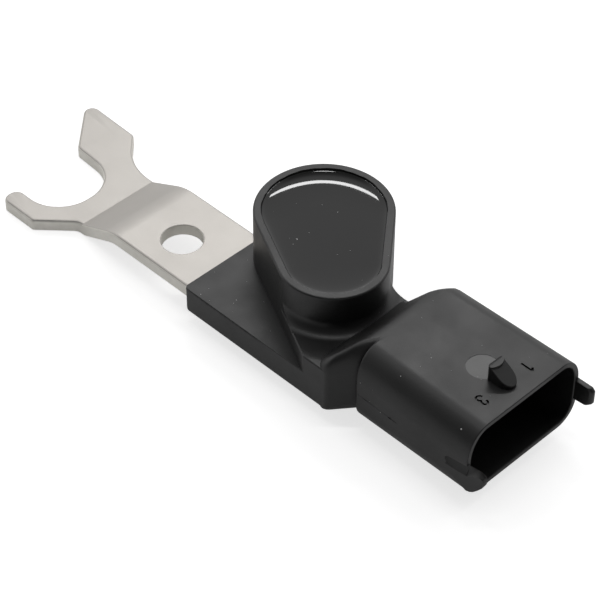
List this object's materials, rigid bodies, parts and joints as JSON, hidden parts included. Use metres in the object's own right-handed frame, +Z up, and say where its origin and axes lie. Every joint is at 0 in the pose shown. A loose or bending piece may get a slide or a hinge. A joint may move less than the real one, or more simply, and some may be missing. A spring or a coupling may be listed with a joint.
{
  "type": "camshaft position sensor",
  "caption": "Hall-effect camshaft position sensor: forked, joggled steel plate with a bolt hole, potted egg-shaped head and a plug socket.",
  "frame": {"origin": "middle of the object's footprint at its lowest level (the underside of the fork)", "axes": "+X runs from the fork to the plug socket's mouth, +Y to the side where the head bulges out, +Z up, out of the potted head"},
  "size_m": [0.1058, 0.0332, 0.0174],
  "materials": {
    "plated_steel": "satin",
    "black_plastic": "matte",
    "black_resin": "gloss",
    "tinned_brass": "satin",
    "green_laminate": "satin",
    "chip_package": "matte",
    "nickel_magnet": "satin",
    "carrier_plastic": "matte",
    "chip_ceramic": "matte"
  },
  "bodies": {
    "root": {"mounting_plate": "plated_steel", "housing": "black_plastic", "potting_compound": "black_resin", "terminal_1": "tinned_brass", "terminal_2": "tinned_brass", "terminal_3": "tinned_brass", "circuit_board": "green_laminate", "hall_ic": "chip_package", "bias_magnet": "nickel_magnet", "magnet_carrier": "carrier_plastic", "capacitor_1": "chip_ceramic", "capacitor_2": "chip_ceramic", "capacitor_3": "chip_ceramic", "series_resistor": "chip_package"}
  },
  "joints": []
}
